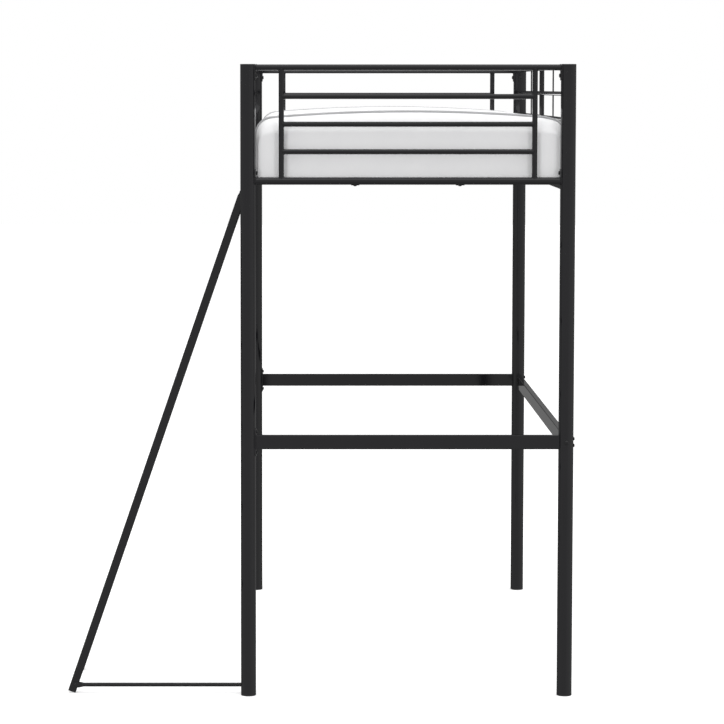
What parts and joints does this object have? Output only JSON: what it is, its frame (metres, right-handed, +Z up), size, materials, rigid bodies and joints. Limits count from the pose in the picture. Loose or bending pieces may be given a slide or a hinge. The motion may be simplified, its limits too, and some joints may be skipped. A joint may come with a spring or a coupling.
{
  "type": "loft bed with ladder",
  "caption": "High single loft bed of black metal tube with guard rails, a leaning ladder with a floor bar, open space below and a thick white mattress.",
  "frame": {"origin": "the middle of the whole footprint, ladder included, on the floor", "axes": "+Z up; +Y along the bed from the foot end to the head end; the ladder leans on the long side at -X, near the foot end, and the wall side is at +X"},
  "size_m": [1.608, 1.9722, 2],
  "materials": {
    "black_enamel": "gloss",
    "black_fasteners": "gloss",
    "black_plastic": "satin",
    "mattress_cover": "matte"
  },
  "bodies": {
    "bed_frame": {"floor_stretcher": "black_enamel", "foot_bar_lower": "black_enamel", "foot_bar_middle": "black_enamel", "foot_bar_upper": "black_enamel", "foot_lower_rail": "black_enamel", "foot_platform_rail": "black_enamel", "foot_top_rail": "black_enamel", "foot_uprights": "black_enamel", "guard_foot_plates": "black_enamel", "guard_foot_screws": "black_fasteners", "guard_posts": "black_enamel", "guard_rods": "black_enamel", "guard_saddles": "black_enamel", "head_bar_lower": "black_enamel", "head_bar_middle": "black_enamel", "head_bar_upper": "black_enamel", "head_lower_rail": "black_enamel", "head_platform_rail": "black_enamel", "head_top_rail": "black_enamel", "head_uprights": "black_enamel", "ladder_foot_caps": "black_plastic", "ladder_guard_bars": "black_enamel", "ladder_guard_entry_post": "black_enamel", "ladder_guard_top_rail": "black_enamel", "ladder_hooks": "black_enamel", "ladder_rung_1": "black_enamel", "ladder_rung_2": "black_enamel", "ladder_rung_3": "black_enamel", "ladder_rung_4": "black_enamel", "ladder_rung_5": "black_enamel", "ladder_screws": "black_fasteners", "ladder_side_rail": "black_enamel", "ladder_stile_foot_side": "black_enamel", "ladder_stile_head_side": "black_enamel", "lower_rail_bolts": "black_fasteners", "lower_rail_plugs": "black_plastic", "lower_rail_saddles": "black_enamel", "panel_saddles": "black_enamel", "panel_screws": "black_fasteners", "platform_lugs": "black_enamel", "platform_screws": "black_fasteners", "platform_slats": "black_enamel", "platform_supports": "black_enamel", "post_caps": "black_plastic", "post_foot_ladder_side": "black_enamel", "post_foot_wall_side": "black_enamel", "post_glides": "black_plastic", "post_head_ladder_side": "black_enamel", "post_head_wall_side": "black_enamel", "rail_screws": "black_fasteners", "side_rail_saddles": "black_enamel", "slat_ledges": "black_enamel", "slat_rivets": "black_fasteners", "stretcher_screws": "black_fasteners", "thread_inserts": "black_fasteners", "wall_guard_bars": "black_enamel", "wall_guard_top_rail": "black_enamel", "wall_lower_rail": "black_enamel", "wall_side_rail": "black_enamel"},
    "mattress": {"mattress": "mattress_cover"}
  },
  "joints": [
    {"name": "mattress_lift", "type": "slide", "parent": "bed_frame", "child": "mattress", "axis": [0, 0, 1], "range_m": [0, 0.4]}
  ]
}
